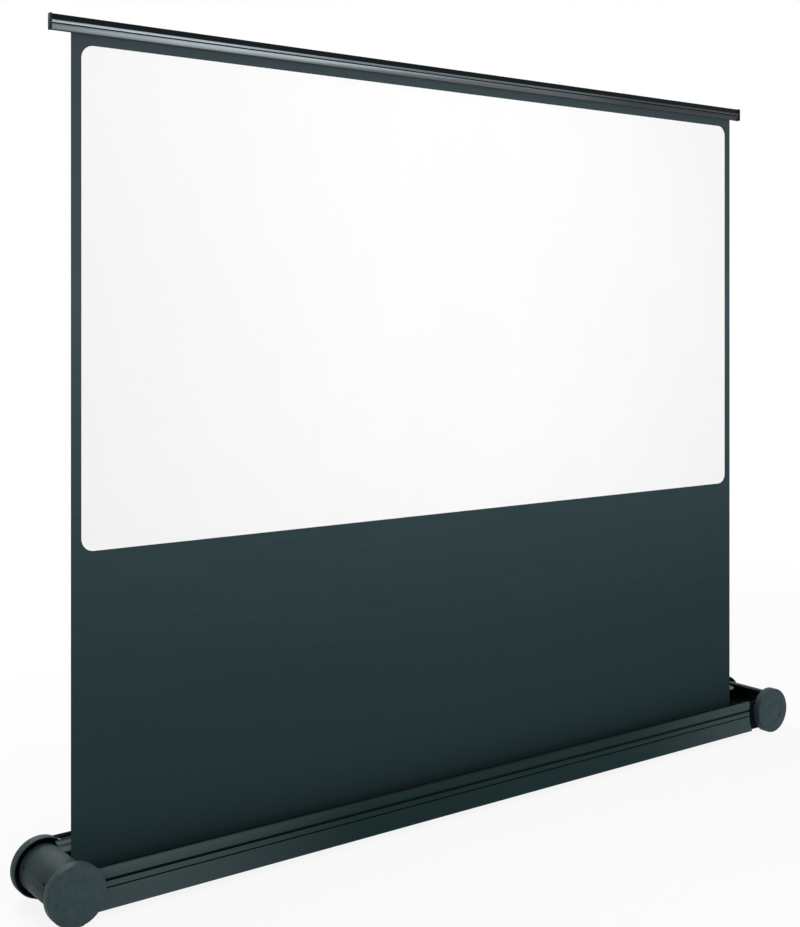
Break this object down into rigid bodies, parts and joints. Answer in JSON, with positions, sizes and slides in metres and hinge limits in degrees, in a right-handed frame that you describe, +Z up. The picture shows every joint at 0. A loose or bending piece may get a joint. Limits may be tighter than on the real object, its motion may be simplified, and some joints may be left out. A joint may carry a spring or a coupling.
{
  "type": "portable floor-standing projection screen",
  "caption": "Portable projection screen that rises from a long floor case on folding arms: white surface with black border and drop, slim top bar, round feet and wheels at the ends.",
  "frame": {"origin": "on the floor, under the middle of the base", "axes": "+X along the screen to the right as its audience sees it, +Y away from the audience, +Z up"},
  "size_m": [2.266, 0.198, 1.8141],
  "materials": {
    "rail_coat": "dark grey-green satin powder coat on aluminium",
    "bar_coat": "dark grey-green satin powder coat on aluminium",
    "black_steel": "black satin paint on steel",
    "end_plastic": "dark grey moulded plastic, fine grain",
    "disc_plastic": "dark grey moulded plastic, fine grain",
    "bar_end_plastic": "black moulded plastic",
    "pad_rubber": "black rubber",
    "steel": "zinc-plated steel",
    "black_screw": "blackened steel",
    "bush_bronze": "sintered bronze",
    "roller_aluminium": "mill finish",
    "arm_aluminium": "satin anodised",
    "nylon": "natural nylon",
    "black_fabric": "black coated screen fabric",
    "white_fabric": "matt white projection coat"
  },
  "bodies": {
    "base": {"front_rail": "rail_coat", "rear_rail": "rail_coat", "floor_plate": "black_steel", "left_end_cap": "end_plastic", "right_end_cap": "end_plastic", "end_cap_screws": "black_screw", "left_front_cheek": "black_steel", "left_rear_cheek": "black_steel", "right_front_cheek": "black_steel", "right_rear_cheek": "black_steel", "case_screws": "black_screw", "front_foot": "disc_plastic", "rear_foot": "disc_plastic", "foot_pads": "pad_rubber", "foot_tie_rod": "steel", "wheel_axle": "black_steel", "axle_nuts": "steel", "left_roller_bracket": "black_steel", "right_roller_bracket": "black_steel", "spring_shaft": "black_steel", "roller_spring": "steel", "brake_cover": "bar_end_plastic", "shoulder_bracket": "black_steel", "shoulder_bracket_screws": "steel", "left_shoulder_pin": "steel", "right_shoulder_pin": "steel", "left_shoulder_spring": "steel", "right_shoulder_spring": "steel", "bar_rest_post": "black_steel", "bar_rest_pad": "pad_rubber", "black_backing": "black_fabric", "white_surface": "white_fabric"},
    "front_wheel": {"front_wheel": "disc_plastic", "front_wheel_bush": "bush_bronze", "front_hub_cover": "disc_plastic"},
    "rear_wheel": {"rear_wheel": "disc_plastic", "rear_wheel_bush": "bush_bronze", "rear_hub_cover": "disc_plastic"},
    "roller": {"roller_tube": "roller_aluminium", "fabric_roll": "black_fabric", "left_roller_plug": "bar_end_plastic", "right_roller_plug": "bar_end_plastic", "brake_drum": "black_steel", "spring_anchor": "bar_end_plastic"},
    "lower_left": {"lower_left_arm": "arm_aluminium", "left_elbow_pin": "steel"},
    "lower_right": {"lower_right_arm": "arm_aluminium", "right_elbow_pin": "steel"},
    "upper_left": {"upper_left_arm": "arm_aluminium", "left_elbow_washer": "nylon"},
    "upper_right": {"upper_right_arm": "arm_aluminium", "right_elbow_washer": "nylon"},
    "bar": {"top_bar": "bar_coat", "left_bar_cap": "bar_end_plastic", "right_bar_cap": "bar_end_plastic", "fabric_rod": "steel", "bar_bracket": "black_steel", "bar_bracket_screws": "steel", "left_wrist_pin": "steel", "right_wrist_pin": "steel"}
  },
  "joints": [
    {"name": "left_arm_fold", "type": "hinge", "parent": "base", "child": "lower_left", "pos_m": [-0.0825, 0.013, 0.056], "axis": [0, -1, 0], "range_deg": [0, 72.75], "deforming": ["black_backing", "white_surface"]},
    {"name": "right_arm_fold", "type": "hinge", "parent": "base", "child": "lower_right", "pos_m": [0.0375, 0.013, 0.056], "axis": [0, 1, 0], "range_deg": [0, 72.77]},
    {"name": "left_elbow_fold", "type": "hinge", "parent": "lower_left", "child": "upper_left", "pos_m": [-0.31521, 0.025, 0.9245], "axis": [0, 1, 0], "range_deg": [0, 145.53]},
    {"name": "right_elbow_fold", "type": "hinge", "parent": "lower_right", "child": "upper_right", "pos_m": [0.27021, 0.025, 0.9245], "axis": [0, -1, 0], "range_deg": [0, 145.53]},
    {"name": "left_wrist_fold", "type": "hinge", "parent": "upper_left", "child": "bar", "pos_m": [-0.0825, 0.025, 1.793], "axis": [0, -1, 0], "range_deg": [0, 72.77]},
    {"name": "roller_turn", "type": "hinge", "parent": "base", "child": "roller", "pos_m": [0, -0.028, 0.046], "axis": [-1, 0, 0], "range_deg": [0, 3411.12]},
    {"name": "front_wheel_turn", "type": "hinge", "parent": "base", "child": "front_wheel", "pos_m": [1.071, -0.088, 0.062], "axis": [0, 1, 0], "continuous": true},
    {"name": "rear_wheel_turn", "type": "hinge", "parent": "base", "child": "rear_wheel", "pos_m": [1.071, 0.088, 0.062], "axis": [0, 1, 0], "continuous": true}
  ],
  "couplings": [
    {"joint": "right_arm_fold", "follows": "left_arm_fold", "ratio": 1},
    {"joint": "left_elbow_fold", "follows": "left_arm_fold", "ratio": 2},
    {"joint": "right_elbow_fold", "follows": "left_arm_fold", "ratio": 2},
    {"joint": "left_wrist_fold", "follows": "left_arm_fold", "ratio": 1},
    {"joint": "roller_turn", "follows": "left_arm_fold", "ratio": 46.872}
  ]
}
